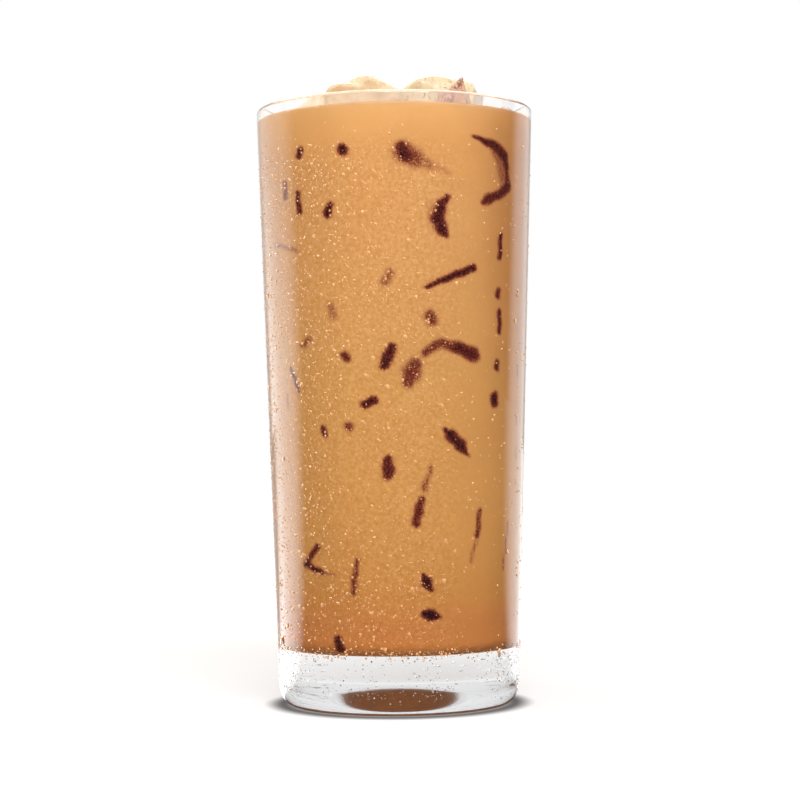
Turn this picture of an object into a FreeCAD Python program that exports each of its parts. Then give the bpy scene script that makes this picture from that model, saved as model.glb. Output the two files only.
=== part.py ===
import FreeCAD, Part
import math
import os
import Sketcher

# Iced milk coffee in a tall tapered tumbler, filled almost to the rim, with
# lumps of half-melted ice standing out of the drink.
# Millimetres, +Z up. The origin is the centre of the resting plane and the
# front of the object faces -Y.

SIZES = [
    # name, value, what it is
    ("tall", 165.0, "glass: height over the rim"),
    ("rim_radius", 38.5, "glass: outer radius at the rim"),
    ("rim_wall", 1.8, "glass: wall at the rim, which is fully rounded"),
    ("foot_radius", 33.3, "glass: outer radius where the wall meets the heel"),
    ("foot_wall", 2.5, "glass: wall beside the inside floor"),
    ("floor_height", 16.0, "glass: inside floor above the resting plane"),
    ("floor_corner", 3.0, "glass: radius between the inside floor and the wall"),
    ("heel_height", 6.3, "glass: height of the rounded heel"),
    ("heel_round", 11.0, "glass: radius of the heel where it joins the wall"),
    ("toe_round", 2.2, "glass: radius of the heel where it joins the underside"),
    ("punt_radius", 22.5, "glass: radius of the domed hollow in the underside"),
    ("punt_rise", 6.0, "glass: height of that hollow"),
    ("brim_gap", 3.1, "drink: level below the rim"),
    ("wall_gap", 0.6, "ice: least clearance to the glass"),
    ("ice_gap", 1.2, "ice: clearance between two pieces"),
    ("split_right", 2.0, "ice: the gap between the two front lumps, right of the middle"),
    ("lumps_forward", 1.0, "ice: middle of the two front lumps, in front of the glass's axis"),
    ("left_wide", 28.5, "left lump: size across"),
    ("left_deep", 24.0, "left lump: size from front to back"),
    ("left_high", 25.0, "left lump: height"),
    ("left_round", 5.5, "left lump: melted edge radius"),
    ("left_proud", 12.4, "left lump: top above the drink"),
    ("right_wide", 19.5, "right lump: size across"),
    ("right_deep", 22.0, "right lump: size from front to back"),
    ("right_high", 24.0, "right lump: height"),
    ("right_round", 7.0, "right lump: melted edge radius"),
    ("right_proud", 12.4, "right lump: top above the drink"),
    ("back_wide", 27.0, "back lump: size across"),
    ("back_deep", 15.0, "back lump: size from front to back"),
    ("back_high", 20.0, "back lump: height"),
    ("back_round", 5.0, "back lump: melted edge radius"),
    ("back_proud", 7.0, "back lump: top above the drink"),
    ("shard_wide", 11.5, "shard: size across"),
    ("shard_deep", 8.0, "shard: size from front to back"),
    ("shard_high", 22.0, "shard: height"),
    ("shard_round", 1.2, "shard: melted edge radius"),
    ("shard_proud", 12.0, "shard: top above the drink"),
    ("chip_wide", 7.0, "chip: size across"),
    ("chip_deep", 6.5, "chip: size from front to back"),
    ("chip_high", 9.0, "chip: height"),
    ("chip_round", 1.6, "chip: melted edge radius"),
    ("chip_proud", 4.2, "chip: top above the drink"),
]

# How each piece of ice is turned about +Z and then leaned about +Y, in degrees.
TURN = {"left": 12.0, "right": -9.0, "back": 5.0, "shard": 14.0, "chip": 30.0}
LEAN = {"left": 0.0, "right": 2.0, "back": -6.0, "shard": -6.0, "chip": 18.0}

# Flats melted onto a piece: the way each one faces (degrees round from +X, degrees
# up from level) and its distance from the piece's middle as a share of the height.
FLATS = {
    "left": [(172.0, 66.0, 0.37), (8.0, 66.0, 0.58), (262.0, 50.0, 0.53)],
    "right": [(200.0, 58.0, 0.53), (300.0, 60.0, 0.53)],
    "back": [(95.0, 55.0, 0.50), (20.0, 68.0, 0.52)],
    "shard": [(178.0, 40.0, 0.30), (6.0, 24.0, 0.27), (265.0, 30.0, 0.27)],
    "chip": [(190.0, 40.0, 0.42), (330.0, 35.0, 0.42)],
}

# The shard's middle, right of the right lump's middle, as a share of its own width.
SHARD_ASIDE = 0.4

HALF_TURN = 180.0
QUARTER_TURN = 90.0

doc = FreeCAD.newDocument("iced_coffee")
sheet = doc.addObject("Spreadsheet::Sheet", "Sizes")
for row, (alias, value, meaning) in enumerate(SIZES, start=1):
    sheet.set(f"A{row}", meaning)
    sheet.set(f"B{row}", str(value))
    sheet.setAlias(f"B{row}", alias)
doc.recompute()


def size(alias):
    """The sheet's value for an alias, for first guesses of sketch geometry."""
    return float(sheet.get(alias))


def bind(thing, prop, expression):
    """Tie a property to the sheet; names between braces are aliases."""
    thing.setExpression(prop, expression.replace("{", "Sizes.").replace("}", ""))


def polar(radius, degrees):
    """A step of that length in the sketch plane."""
    angle = math.radians(degrees)
    return FreeCAD.Vector(radius * math.cos(angle), radius * math.sin(angle), 0)


def origin_plane(body, role):
    """One of a body's own origin planes or axes."""
    return [feature for feature in body.Origin.OriginFeatures if feature.Role == role][0]


# ---------------------------------------------------------------- the glass
def glass_profile():
    """The half section's corners, centres and angles, worked out from the sheet."""
    lip = size("rim_wall") / 2
    lip_centre = FreeCAD.Vector(size("rim_radius") - lip, size("tall") - lip, 0)
    heel_top = FreeCAD.Vector(size("foot_radius"), size("heel_height"), 0)

    # The outer wall leaves the heel and meets the rounded rim on its outer side.
    to_lip = lip_centre - heel_top
    lean_out = math.degrees(math.atan2(to_lip.y, to_lip.x) - math.asin(lip / to_lip.Length))
    # The inner wall passes the rim on its inner side and the floor's corner outside.
    corner = size("floor_corner")
    corner_centre = FreeCAD.Vector(size("foot_radius") - size("foot_wall") - corner,
                                   size("floor_height") + corner, 0)
    from_corner = lip_centre - corner_centre
    lean_in = math.degrees(math.atan2(from_corner.y, from_corner.x)
                           + math.asin((lip + corner) / from_corner.Length))

    heel, toe = size("heel_round"), size("toe_round")
    heel_centre = heel_top + polar(heel, lean_out + QUARTER_TURN)
    drop = heel_centre.y - toe
    toe_centre = FreeCAD.Vector(heel_centre.x + math.sqrt((heel - toe) ** 2 - drop ** 2), toe, 0)
    meet = math.degrees(math.atan2(toe_centre.y - heel_centre.y, toe_centre.x - heel_centre.x))

    rise, reach = size("punt_rise"), size("punt_radius")
    dome = (reach ** 2 + rise ** 2) / (2 * rise)
    return {
        "lip": lip, "lip_centre": lip_centre, "heel_top": heel_top,
        "lean_out": lean_out, "lean_in": lean_in,
        "corner": corner, "corner_centre": corner_centre,
        "heel": heel, "heel_centre": heel_centre,
        "toe": toe, "toe_centre": toe_centre, "meet": meet,
        "dome": dome, "dome_centre": FreeCAD.Vector(0, rise - dome, 0),
    }


def arc(centre, radius, start, end):
    """An arc that turns anticlockwise between two angles in degrees."""
    circle = Part.Circle(centre, FreeCAD.Vector(0, 0, 1), radius)
    return Part.ArcOfCircle(circle, math.radians(start), math.radians(end))


def make_tumbler():
    """Tapered glass with a thick clear base, a rounded rim and a domed underside."""
    body = doc.addObject("PartDesign::Body", "Tumbler")
    body.Label = "tumbler"
    sketch = body.newObject("Sketcher::SketchObject", "GlassSection")
    sketch.AttachmentSupport = [(origin_plane(body, "XZ_Plane"), "")]
    sketch.MapMode = "FlatFace"

    shape = glass_profile()
    punt_edge = FreeCAD.Vector(size("punt_radius"), 0, 0)
    punt_top = FreeCAD.Vector(0, size("punt_rise"), 0)
    ring_edge = FreeCAD.Vector(shape["toe_centre"].x, 0, 0)
    out_low = shape["heel_top"]
    out_high = shape["lip_centre"] + polar(shape["lip"], shape["lean_out"] - QUARTER_TURN)
    in_high = shape["lip_centre"] + polar(shape["lip"], shape["lean_in"] + QUARTER_TURN)
    in_low = shape["corner_centre"] + polar(shape["corner"], shape["lean_in"] - QUARTER_TURN)
    floor_edge = shape["corner_centre"] + polar(shape["corner"], -QUARTER_TURN)
    floor_middle = FreeCAD.Vector(0, size("floor_height"), 0)

    dome_rise = math.degrees(math.atan2(-shape["dome_centre"].y, size("punt_radius")))
    dome = sketch.addGeometry(arc(shape["dome_centre"], shape["dome"], dome_rise, QUARTER_TURN))
    ring = sketch.addGeometry(Part.LineSegment(punt_edge, ring_edge))
    toe = sketch.addGeometry(arc(shape["toe_centre"], shape["toe"], -QUARTER_TURN, shape["meet"]))
    heel = sketch.addGeometry(arc(shape["heel_centre"], shape["heel"], shape["meet"],
                                  shape["lean_out"] - QUARTER_TURN))
    outer = sketch.addGeometry(Part.LineSegment(out_low, out_high))
    lip = sketch.addGeometry(arc(shape["lip_centre"], shape["lip"],
                                 shape["lean_out"] - QUARTER_TURN, shape["lean_in"] + QUARTER_TURN))
    inner = sketch.addGeometry(Part.LineSegment(in_high, in_low))
    corner = sketch.addGeometry(arc(shape["corner_centre"], shape["corner"],
                                    -QUARTER_TURN, shape["lean_in"] - QUARTER_TURN))
    floor = sketch.addGeometry(Part.LineSegment(floor_edge, floor_middle))
    axis = sketch.addGeometry(Part.LineSegment(floor_middle, punt_top))

    start, end, centre = 1, 2, 3
    level_axis, upright_axis, origin = -1, -2, -1
    constrain = sketch.addConstraint
    join = Sketcher.Constraint
    constrain(join("Coincident", dome, start, ring, start))
    constrain(join("Tangent", ring, end, toe, start))
    constrain(join("Tangent", toe, end, heel, start))
    constrain(join("Tangent", heel, end, outer, start))
    constrain(join("Tangent", outer, end, lip, start))
    constrain(join("Tangent", lip, end, inner, start))
    constrain(join("Tangent", inner, end, corner, end))
    constrain(join("Tangent", corner, start, floor, start))
    constrain(join("Coincident", floor, end, axis, start))
    constrain(join("Coincident", axis, end, dome, end))
    constrain(join("PointOnObject", ring, start, level_axis))
    constrain(join("PointOnObject", ring, end, level_axis))
    constrain(join("Horizontal", floor))
    constrain(join("PointOnObject", axis, start, upright_axis))
    constrain(join("PointOnObject", axis, end, upright_axis))
    constrain(join("PointOnObject", dome, centre, upright_axis))

    def dimension(kind, *where, value, expression):
        index = constrain(join(kind, *where, value))
        bind(sketch, f"Constraints[{index}]", expression)

    dimension("DistanceX", origin, 1, ring, start, value=size("punt_radius"),
              expression="{punt_radius}")
    dimension("DistanceY", origin, 1, dome, end, value=size("punt_rise"),
              expression="{punt_rise}")
    dimension("Radius", toe, value=shape["toe"], expression="{toe_round}")
    dimension("Radius", heel, value=shape["heel"], expression="{heel_round}")
    dimension("DistanceX", origin, 1, outer, start, value=out_low.x, expression="{foot_radius}")
    dimension("DistanceY", origin, 1, outer, start, value=out_low.y, expression="{heel_height}")
    dimension("Radius", lip, value=shape["lip"], expression="{rim_wall} / 2")
    dimension("DistanceX", origin, 1, lip, centre, value=shape["lip_centre"].x,
              expression="{rim_radius} - {rim_wall} / 2")
    dimension("DistanceY", origin, 1, lip, centre, value=shape["lip_centre"].y,
              expression="{tall} - {rim_wall} / 2")
    dimension("Radius", corner, value=shape["corner"], expression="{floor_corner}")
    dimension("DistanceX", origin, 1, corner, centre, value=shape["corner_centre"].x,
              expression="{foot_radius} - {foot_wall} - {floor_corner}")
    dimension("DistanceY", origin, 1, axis, start, value=size("floor_height"),
              expression="{floor_height}")
    doc.recompute()
    if not sketch.FullyConstrained:
        raise RuntimeError("the glass's section is not fully constrained")

    spin = body.newObject("PartDesign::Revolution", "GlassSpin")
    spin.Profile = sketch
    spin.ReferenceAxis = (sketch, ["V_Axis"])
    spin.Angle = 2 * HALF_TURN
    body.Tip = spin
    sketch.Visibility = False
    doc.recompute()
    return body


# ---------------------------------------------------------------- the ice
DRINK_LEVEL = "{tall} - {brim_gap}"


def make_ice_room():
    """The space inside the glass that ice may take, clear of its wall."""
    room = doc.addObject("Part::Cone", "IceRoom")
    height = "({tall} - {floor_height})"
    bind(room, "Radius1", "{foot_radius} - {foot_wall} - {wall_gap}")
    # As far again above the rim as the inside is deep, widening at the wall's slope.
    bind(room, "Radius2", "2 * ({rim_radius} - {rim_wall}) - ({foot_radius} - {foot_wall})"
                          " - {wall_gap}")
    bind(room, "Height", f"2 * {height}")
    bind(room, "Placement.Base.z", "{floor_height} + {wall_gap}")
    return room


def half_across(name):
    """Half of what a turned block takes up along X, as an expression."""
    cosine = abs(math.cos(math.radians(TURN[name])))
    sine = abs(math.sin(math.radians(TURN[name])))
    return f"({{{name}_wide}} * {cosine:.6f} + {{{name}_deep}} * {sine:.6f}) / 2"


def half_along(name):
    """Half of what a turned block takes up along Y, as an expression."""
    cosine = abs(math.cos(math.radians(TURN[name])))
    sine = abs(math.sin(math.radians(TURN[name])))
    return f"({{{name}_wide}} * {sine:.6f} + {{{name}_deep}} * {cosine:.6f}) / 2"


def make_ice(name, middle_x, middle_y, room):
    """A block with melted edges and flats, turned, leaned and set at its height."""
    body = doc.addObject("PartDesign::Body", f"Block_{name}")
    body.Label = f"ice_{name}_block"
    block = body.newObject("PartDesign::AdditiveBox", f"Cube_{name}")
    for prop, base, alias in (("Length", "x", "wide"), ("Width", "y", "deep"),
                              ("Height", "z", "high")):
        bind(block, prop, f"{{{name}_{alias}}}")
        bind(block, f"Placement.Base.{base}", f"-{{{name}_{alias}}} / 2")
    doc.recompute()

    melt = body.newObject("PartDesign::Fillet", f"Melt_{name}")
    melt.Base = (block, [f"Edge{n}" for n in range(1, len(block.Shape.Edges) + 1)])
    bind(melt, "Radius", f"{{{name}_round}}")
    doc.recompute()

    whole = melt.Shape.Volume
    for number, (around, above, share) in enumerate(FLATS[name], start=1):
        # A large block whose underside lies on the flat and whose middle is over it.
        cut = body.newObject("PartDesign::SubtractiveBox", f"Flat_{name}_{number}")
        turn = FreeCAD.Rotation(FreeCAD.Vector(0, 0, 1), around)
        tip = FreeCAD.Rotation(FreeCAD.Vector(0, 1, 0), QUARTER_TURN - above)
        facing = turn.multiply(tip)
        cut.Placement.Rotation = facing
        for prop in ("Length", "Width", "Height"):
            bind(cut, prop, f"2 * ({{{name}_wide}} + {{{name}_high}})")
        out = facing.multVec(FreeCAD.Vector(0, 0, 1))
        side = facing.multVec(FreeCAD.Vector(1, 1, 0))
        for base, along, across in (("x", out.x, side.x), ("y", out.y, side.y),
                                    ("z", out.z, side.z)):
            bind(cut, f"Placement.Base.{base}",
                 f"{along:.6f} * {share} * {{{name}_high}}"
                 f" - {across:.6f} * ({{{name}_wide}} + {{{name}_high}})")
        doc.recompute()
    body.Tip = cut
    doc.recompute()
    if not 0 < body.Shape.Volume < whole:
        raise RuntimeError(f"the flats of ice_{name} cut nothing")

    turn = FreeCAD.Rotation(FreeCAD.Vector(0, 0, 1), TURN[name])
    lean = FreeCAD.Rotation(FreeCAD.Vector(0, 1, 0), LEAN[name])
    body.Placement = FreeCAD.Placement(FreeCAD.Vector(0, 0, 0), lean.multiply(turn))
    bind(body, "Placement.Base.x", middle_x)
    bind(body, "Placement.Base.y", middle_y)
    bind(body, "Placement.Base.z", f"{DRINK_LEVEL} + {{{name}_proud}} - {{{name}_high}} / 2")

    piece = doc.addObject("Part::MultiCommon", f"Ice_{name}")
    piece.Label = f"ice_{name}"
    piece.Shapes = [body, room]
    doc.recompute()
    return piece


# ---------------------------------------------------------------- the drink
def make_drink(tumbler, ice):
    """All of the inside up to the level, face to face with the glass and the ice."""
    # A cone that ends inside the glass's wall and base, so the glass itself trims it.
    fill = doc.addObject("Part::Cone", "Fill")
    fill_base = "({punt_rise} + {floor_height}) / 2"
    bind(fill, "Radius1", "{foot_radius} - {foot_wall} / 2")
    bind(fill, "Radius2", "{rim_radius} - {rim_wall} / 2"
                          " - ({rim_radius} - {foot_radius}) * {brim_gap} / {tall}")
    bind(fill, "Height", f"{DRINK_LEVEL} - {fill_base}")
    bind(fill, "Placement.Base.z", fill_base)

    inside = doc.addObject("Part::Cut", "Inside")
    inside.Base = fill
    inside.Tool = tumbler

    pockets = doc.addObject("Part::MultiFuse", "Pockets")
    pockets.Shapes = ice
    drink = doc.addObject("Part::Cut", "Drink")
    drink.Label = "drink"
    drink.Base = inside
    drink.Tool = pockets
    doc.recompute()
    return drink


tumbler = make_tumbler()
ice_room = make_ice_room()

# The two lumps stand side by side, the back one behind the left, the shard in
# front of the right one and the chip between that and the glass.
left_x = f"{{split_right}} - {{ice_gap}} / 2 - {half_across('left')}"
right_x = f"{{split_right}} + {{ice_gap}} / 2 + {half_across('right')}"
back_y = f"{half_along('left')} + {{ice_gap}} + {half_along('back')} - {{lumps_forward}}"
shard_y = f"-({half_along('right')} + {{ice_gap}} + {half_along('shard')} + {{lumps_forward}})"
chip_x = f"{right_x} + {half_across('right')} + {{ice_gap}} + {half_across('chip')}"
ice_left = make_ice("left", left_x, "-{lumps_forward}", ice_room)
ice_right = make_ice("right", right_x, "-{lumps_forward}", ice_room)
ice_back = make_ice("back", "-{split_right}", back_y, ice_room)
ice_shard = make_ice("shard", f"{right_x} + {SHARD_ASIDE} * {{shard_wide}}", shard_y, ice_room)
ice_chip = make_ice("chip", chip_x, "-{chip_deep}", ice_room)

ice = [ice_left, ice_right, ice_back, ice_shard, ice_chip]
drink = make_drink(tumbler, ice)
doc.recompute()

for thing in doc.Objects:
    if "Invalid" in thing.State or "Error" in thing.State:
        raise RuntimeError(f"{thing.Label} did not build: {thing.State}")

os.makedirs("parts", exist_ok=True)
for part in [tumbler, drink] + ice:
    solid = part.Shape
    if solid.isNull() or not solid.isValid() or len(solid.Solids) != 1:
        raise RuntimeError(f"{part.Label} is not one valid solid")
    solid.exportStep(f"parts/{part.Label}.step")
    box = solid.BoundBox
    print(f"{part.Label:10s} {solid.Volume / 1000:8.2f} cm3  x {box.XMin:6.1f} {box.XMax:6.1f}"
          f"  y {box.YMin:6.1f} {box.YMax:6.1f}  z {box.ZMin:6.1f} {box.ZMax:6.1f}")
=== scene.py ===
import math

import bpy
import numpy as np
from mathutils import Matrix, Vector


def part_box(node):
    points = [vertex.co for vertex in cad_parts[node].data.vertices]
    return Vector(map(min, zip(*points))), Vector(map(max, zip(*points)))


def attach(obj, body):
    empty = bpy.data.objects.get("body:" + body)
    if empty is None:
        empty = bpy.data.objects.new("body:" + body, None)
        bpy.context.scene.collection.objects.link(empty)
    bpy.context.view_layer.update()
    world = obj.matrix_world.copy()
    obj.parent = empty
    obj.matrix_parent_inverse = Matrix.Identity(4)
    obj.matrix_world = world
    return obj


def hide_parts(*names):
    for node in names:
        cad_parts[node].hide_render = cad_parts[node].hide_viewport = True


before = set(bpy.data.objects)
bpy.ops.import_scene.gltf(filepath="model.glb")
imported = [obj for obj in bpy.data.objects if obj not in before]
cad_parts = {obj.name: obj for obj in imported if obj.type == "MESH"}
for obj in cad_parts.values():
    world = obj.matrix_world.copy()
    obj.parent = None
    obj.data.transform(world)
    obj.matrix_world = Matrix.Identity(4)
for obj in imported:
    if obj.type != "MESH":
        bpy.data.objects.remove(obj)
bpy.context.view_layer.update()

MM = 0.001
RANDOM = np.random.default_rng(21)

# ------------------------------ the tumbler, mm
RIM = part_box("tumbler")[1][2] / MM
RIM_RADIUS = 38.49
RIM_WALL = 1.8
FOOT_RADIUS = 33.3
FOOT_WALL = 2.5
FLOOR = 16.0             # the inside floor, level and with a rounded corner
FLOOR_CORNER = 3.0
BASE_TOP = FLOOR - 1     # below this the glass is all clear base
HEEL_HEIGHT = 6.3
HEEL_REACH = 3.8         # the heel is a quarter ellipse this far across
PUNT_RADIUS = 22.5
PUNT_RISE = 6.0
PUNT_EDGE = 1.0          # radius that softens the edge of the hollow
LIP_MIDDLE = RIM - RIM_WALL / 2
LEAN = (RIM_RADIUS - FOOT_RADIUS) / (LIP_MIDDLE - HEEL_HEIGHT)    # of the wall outside

# ------------------------------ the coffee, mm
MENISCUS_RISE = 0.9
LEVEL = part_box("drink")[1][2] / MM - MENISCUS_RISE
MENISCUS_REACH = 3.0
INTO_GLASS = 0.15        # the coffee reaches this far into the wall, so no air shows
DRINK_MIDDLE = 35.0      # its mean radius


def wall_outside(height):
    """Outer radius of the glass wall at a height, mm."""
    share = (height - HEEL_HEIGHT) / (LIP_MIDDLE - HEEL_HEIGHT)
    return FOOT_RADIUS + (RIM_RADIUS - FOOT_RADIUS) * share


def wall_inside(height):
    """Inner radius of the glass wall at a height, mm."""
    top = RIM_RADIUS - RIM_WALL
    foot = wall_outside(FLOOR) - FOOT_WALL
    return foot + (top - foot) * (height - FLOOR) / (LIP_MIDDLE - FLOOR)


CORNER_TOP = FLOOR + FLOOR_CORNER
CORNER = (wall_inside(CORNER_TOP) - FLOOR_CORNER, CORNER_TOP)     # middle of its arc
CORNER_STEPS, FLOOR_STEPS = 8, 12


def arc(middle, radius, first, last, steps):
    """Points on an arc in the half section; degrees round from level outwards."""
    return [
        (
            middle[0] + radius * math.cos(math.radians(first + (last - first) * i / steps)),
            middle[1] + radius * math.sin(math.radians(first + (last - first) * i / steps)),
        )
        for i in range(steps + 1)
    ]


def between(first, last, steps):
    """The places between two heights, in even steps, without the two."""
    return [first + (last - first) * i / steps for i in range(1, steps)]


# ------------------------------ modelling by hand
def start_piece(name, add, **size):
    """Deselect everything, add a primitive at the origin and name it."""
    bpy.ops.object.select_all(action="DESELECT")
    add(location=(0, 0, 0), **size)
    piece = bpy.context.object
    piece.name = piece.data.name = name
    return piece


def finish_piece(piece, modifiers=(), smooth=True):
    """Leave edit mode, apply the modifiers in turn and smooth the shading."""
    if bpy.context.object.mode == "EDIT":
        bpy.ops.object.mode_set(mode="OBJECT")
    for kind, settings in modifiers:
        modifier = piece.modifiers.new(kind.title(), kind)
        for key, value in settings.items():
            setattr(modifier, key, value)
        bpy.ops.object.modifier_apply(modifier=modifier.name)
    if smooth:
        bpy.ops.object.shade_smooth()
    return piece


def register(piece, slot, material, *nodes):
    """Give the piece its material and its body, and hide the CAD nodes it stands for; the slot is
    not used.
    """
    piece.data.materials.append(material)
    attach(piece, "root")
    if nodes:
        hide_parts(*nodes)
    return piece


def trace_section(name, points, turned=0.0):
    """Trace a half section (radius, height) in mm by extruding one vertex along it."""
    piece = start_piece(name, bpy.ops.mesh.primitive_plane_add, size=MM)
    across, along = math.cos(math.radians(turned)), math.sin(math.radians(turned))
    places = [Vector((r * across, r * along, z)) * MM for r, z in points]
    bpy.ops.object.mode_set(mode="EDIT")
    bpy.ops.mesh.merge(type="CENTER")
    bpy.ops.transform.translate(value=places[0])
    for here, there in zip(places, places[1:]):
        bpy.ops.mesh.extrude_region_move(TRANSFORM_OT_translate={"value": there - here})
    return piece


def spin_section(arcs):
    """Spin the traced section round the upright axis in arcs of (degrees, steps)."""
    bpy.ops.mesh.select_all(action="SELECT")
    for degrees, steps in arcs:
        bpy.ops.mesh.spin(
            steps=steps, angle=math.radians(degrees), center=(0, 0, 0), axis=(0, 0, 1),
            use_auto_merge=False,
        )
    bpy.ops.mesh.select_all(action="SELECT")
    bpy.ops.mesh.remove_doubles(threshold=0.004 * MM)
    bpy.ops.mesh.normals_make_consistent(inside=False)


def corners_of(piece):
    """The corners of a piece's mesh, one row each, m."""
    corners = np.empty(len(piece.data.vertices) * 3)
    piece.data.vertices.foreach_get("co", corners)
    return corners.reshape(-1, 3)


def join_copies(name, shape, copies):
    """One piece made of copies of a shape; each copy is the places of its corners, m."""
    count, first = len(copies[0]), [list(face.vertices) for face in shape.data.polygons]
    faces = [[corner + i * count for corner in face] for i in range(len(copies)) for face in first]
    joined = bpy.data.meshes.new(name)
    joined.from_pydata(np.concatenate(copies).tolist(), [], faces)
    joined.polygons.foreach_set("use_smooth", np.ones(len(faces), dtype=bool))
    joined.update()
    piece = bpy.data.objects.new(name, joined)
    bpy.context.scene.collection.objects.link(piece)
    return piece


# ------------------------------ materials
COLOUR_MIX = {"data_type": "RGBA", "blend_type": "MIX"}
SMOOTH_RISE = {"interpolation_type": "SMOOTHSTEP"}
TIMES, PLUS = {"operation": "MULTIPLY"}, {"operation": "ADD"}
GREATER, BELOW = {"operation": "MAXIMUM"}, {"operation": "LESS_THAN"}
BASE_TINT = "#ecedee"    # the thick base
UNDERSIDE_DULL = 0.1     # roughness of the underside
BASE_DULL = 0.06         # and of the base's outside
RIM_MIST = 0.09          # how much the glass is clouded above the coffee


def hex_colour(code):
    """A colour written as sRGB hex, turned to linear light."""
    parts = [int(code[i:i + 2], 16) / 255 for i in (1, 3, 5)]
    linear = [c / 12.92 if c <= 0.04045 else ((c + 0.055) / 1.055) ** 2.4 for c in parts]
    return (*linear, 1.0)


def add_node(tree, kind, settings=None, values=None, links=None):
    """Add a node, set its properties and socket values, and link its inputs.  A node
    given as a source stands for its first output."""
    node = tree.nodes.new("ShaderNode" + kind)
    for key, value in (settings or {}).items():
        setattr(node, key, value)
    for key, value in (values or {}).items():
        node.inputs[key].default_value = value
    for key, source in (links or {}).items():
        socket = source.outputs[0] if isinstance(source, bpy.types.Node) else source
        tree.links.new(socket, node.inputs[key])
    return node


def new_material(name):
    """An empty node material and its tree."""
    material = bpy.data.materials.new(name)
    material.use_nodes = True
    material.node_tree.nodes.clear()
    return material, material.node_tree


def set_stops(node, stops):
    """Set a colour ramp's stops from (position, colour) pairs."""
    ramp = node.color_ramp
    while len(ramp.elements) < len(stops):
        ramp.elements.new(0.5)
    for element, (position, colour) in zip(ramp.elements, stops):
        element.position, element.color = position, hex_colour(colour)


def let_light_through(tree, surface, straight_on, edge_on):
    """Clear pieces let the lamps through, less so where seen edge on."""
    facing = add_node(tree, "LayerWeight", values={"Blend": 0.35})
    tint = add_node(tree, "ValToRGB", links={"Fac": facing.outputs["Facing"]})
    set_stops(tint, [(0.0, straight_on), (1.0, edge_on)])
    through = add_node(tree, "BsdfTransparent", links={"Color": tint})
    path = add_node(tree, "LightPath")
    mixed = add_node(
        tree, "MixShader", links={0: path.outputs["Is Shadow Ray"], 1: surface, 2: through},
    )
    add_node(tree, "OutputMaterial", links={"Surface": mixed})


def make_glass_material():
    """Soda-lime glass, pressed and fire polished: clear and colourless where thin,
    faintly grey through the thick base, with sharp reflections that brighten towards
    its edges and a slightly dull base where it was pressed."""
    material, tree = new_material("soda_lime_glass")
    on_piece = {"Vector": add_node(tree, "TexCoord").outputs["Object"]}
    spread = add_node(tree, "SeparateXYZ", links=on_piece)
    thin = add_node(
        tree, "MapRange", values={"From Min": (FLOOR - 3) * MM, "From Max": (FLOOR + 3) * MM},
        links={"Value": spread.outputs["Z"]},
    )
    tint = add_node(
        tree, "Mix", COLOUR_MIX, values={6: hex_colour(BASE_TINT), 7: hex_colour("#fbfbfb")},
        links={0: thin},
    )
    # Only the hollow under the base lies inside the ring it stands on.
    flat = add_node(tree, "CombineXYZ", links={"X": spread.outputs["X"], "Y": spread.outputs["Y"]})
    around = add_node(tree, "VectorMath", {"operation": "LENGTH"}, links={0: flat})
    inside = add_node(
        tree, "Math", BELOW, values={1: (FOOT_RADIUS - HEEL_REACH) * MM},
        links={0: around.outputs["Value"]},
    )
    low = add_node(
        tree, "Math", BELOW, values={1: (PUNT_RISE + 1) * MM}, links={0: spread.outputs["Z"]},
    )
    under = add_node(tree, "Math", TIMES, links={0: inside, 1: low})
    # The base's outside is a little uneven from the mould.
    uneven = add_node(
        tree, "MapRange",
        values={
            "From Min": (FLOOR - 3) * MM, "From Max": BASE_TOP * MM,
            "To Min": BASE_DULL, "To Max": 0.0,
        },
        links={"Value": spread.outputs["Z"]},
    )
    dull = add_node(
        tree, "Math", {"operation": "MULTIPLY_ADD"}, values={1: UNDERSIDE_DULL},
        links={0: under, 2: uneven},
    )
    # Above the coffee the cold glass is clouded over by a breath of mist.
    clouded = add_node(
        tree, "MapRange",
        values={
            "From Min": (LEVEL - 1) * MM, "From Max": (LEVEL + 1) * MM,
            "To Min": 1.0, "To Max": 1.0 - RIM_MIST,
        },
        links={"Value": spread.outputs["Z"]},
    )
    surface = add_node(
        tree, "BsdfPrincipled", values={"IOR": 1.5},
        links={"Base Color": tint.outputs[2], "Roughness": dull, "Transmission Weight": clouded},
    )
    let_light_through(tree, surface, "#fbfbfb", "#b8b8b8")
    return material


# Colour of the coffee against height, mm: painted light lightens the top, painted shade
# browns it low down, and painted light pales the underside, where little light reaches.
COFFEE_AND_LIGHT_BY_HEIGHT = [
    (15.0, "#ffc090"), (16.0, "#fba86c"), (18.0, "#d68a4a"), (24.0, "#ce894c"),
    (32.0, "#cf9550"), (44.0, "#d39e59"), (90.0, "#d5a461"), (128.0, "#d6a466"),
    (150.0, "#d9a666"), (161.0, "#e4b272"),
]
# Colour of a mark from its faint edge to its middle.
MARK_TONES = [
    (0.0, "#b87c54"), (0.3, "#9c5a3c"), (0.6, "#6e2e1c"), (0.85, "#48120e"), (1.0, "#1c0306"),
]
MILK_DRIFT = 22.0        # mm across: the slow drifts of milk,
MIST_GRAIN = 0.9         # the grain of the finest mist's painted glints and shade, drawn as coarse as it needs to show,
MARK_GRAIN = 0.4         # and the grains at a mark's edge


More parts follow.
